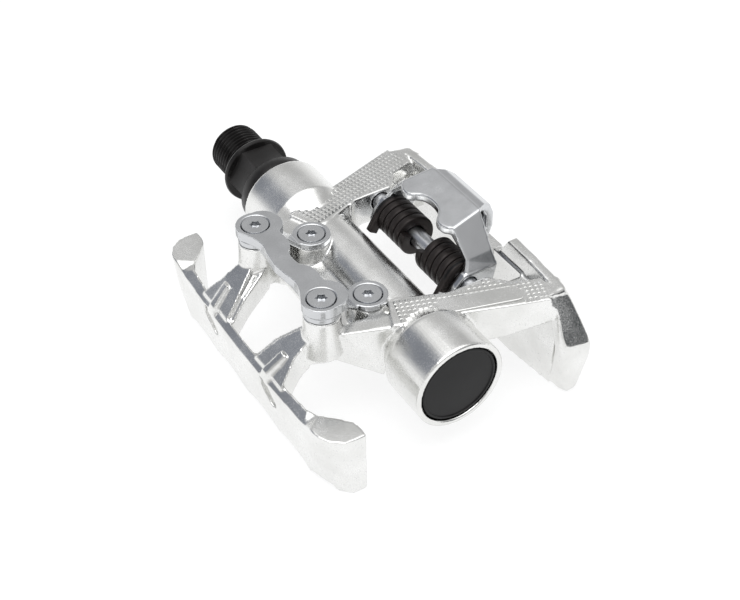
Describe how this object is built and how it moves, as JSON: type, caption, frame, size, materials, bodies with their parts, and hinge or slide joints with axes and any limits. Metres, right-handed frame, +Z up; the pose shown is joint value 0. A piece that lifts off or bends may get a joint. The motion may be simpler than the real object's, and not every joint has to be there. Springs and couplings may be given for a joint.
{
  "type": "clipless bicycle pedal",
  "caption": "Clipless bicycle pedal: a cast cage with a cleat claw and sprung rear jaw on one side, a flat platform on the other, and a threaded spindle.",
  "frame": {"origin": "centre of the bounding box in plan, at the ground plane the pedal stands on", "axes": "+X along the spindle towards the end cap (outboard), +Y to the rear jaw, +Z up through the cleat binding"},
  "size_m": [0.1134, 0.0746, 0.0383],
  "materials": {
    "cast_aluminium": "polished casting, satin in the recesses",
    "black_steel": "black oxide, satin",
    "plated_steel": "zinc plated, satin",
    "bright_steel": "ground and polished",
    "spring_steel": "black oxide, oiled",
    "bronze": "sintered bronze",
    "cap_plastic": "black moulded, fine satin",
    "seal_rubber": "black rubber"
  },
  "bodies": {
    "cage": {"pedal_body": "cast_aluminium", "inboard_seal": "seal_rubber", "inboard_bushing": "bronze", "bearing_outer_race": "bright_steel", "end_cap": "cap_plastic", "cleat_claw": "plated_steel", "wear_plate": "plated_steel", "claw_screw_inboard": "plated_steel", "claw_screw_outboard": "plated_steel", "plate_screw_inboard": "plated_steel", "plate_screw_outboard": "plated_steel", "jaw_pivot_pin": "bright_steel", "spring_inboard": "spring_steel", "spring_outboard": "spring_steel", "spring_washer_inboard": "cap_plastic", "spring_washer_outboard": "cap_plastic"},
    "spindle": {"spindle": "black_steel", "bearing_inner_race": "bright_steel", "lock_washer": "plated_steel", "lock_nut": "plated_steel", "bearing_ball_1": "bright_steel", "bearing_ball_2": "bright_steel", "bearing_ball_3": "bright_steel", "bearing_ball_4": "bright_steel", "bearing_ball_5": "bright_steel", "bearing_ball_6": "bright_steel", "bearing_ball_7": "bright_steel"},
    "jaw": {"rear_jaw": "plated_steel"},
    "tension_screw": {"tension_screw": "black_steel"},
    "tension_plate": {"tension_plate": "plated_steel"}
  },
  "joints": [
    {"name": "spindle_spin", "type": "hinge", "parent": "cage", "child": "spindle", "pos_m": [0.01445, -0.0011, 0.0186], "axis": [1, 0, 0], "continuous": true},
    {"name": "jaw_release", "type": "hinge", "parent": "cage", "child": "jaw", "pos_m": [0.01445, 0.0164, 0.0241], "axis": [-1, 0, 0], "range_deg": [0, 12], "stiffness_Nm_per_rad": 4, "springref_deg": -17.19},
    {"name": "tension_turn", "type": "hinge", "parent": "jaw", "child": "tension_screw", "pos_m": [0.01445, 0.0315, 0.0282], "axis": [0, 1, 0], "range_deg": [-361, 361]},
    {"name": "tension_travel", "type": "slide", "parent": "jaw", "child": "tension_plate", "axis": [0, 1, 0], "range_m": [-0.0008, 0.0008]}
  ],
  "couplings": [
    {"joint": "tension_turn", "follows": "tension_travel", "rad_per_m": 7854}
  ]
}
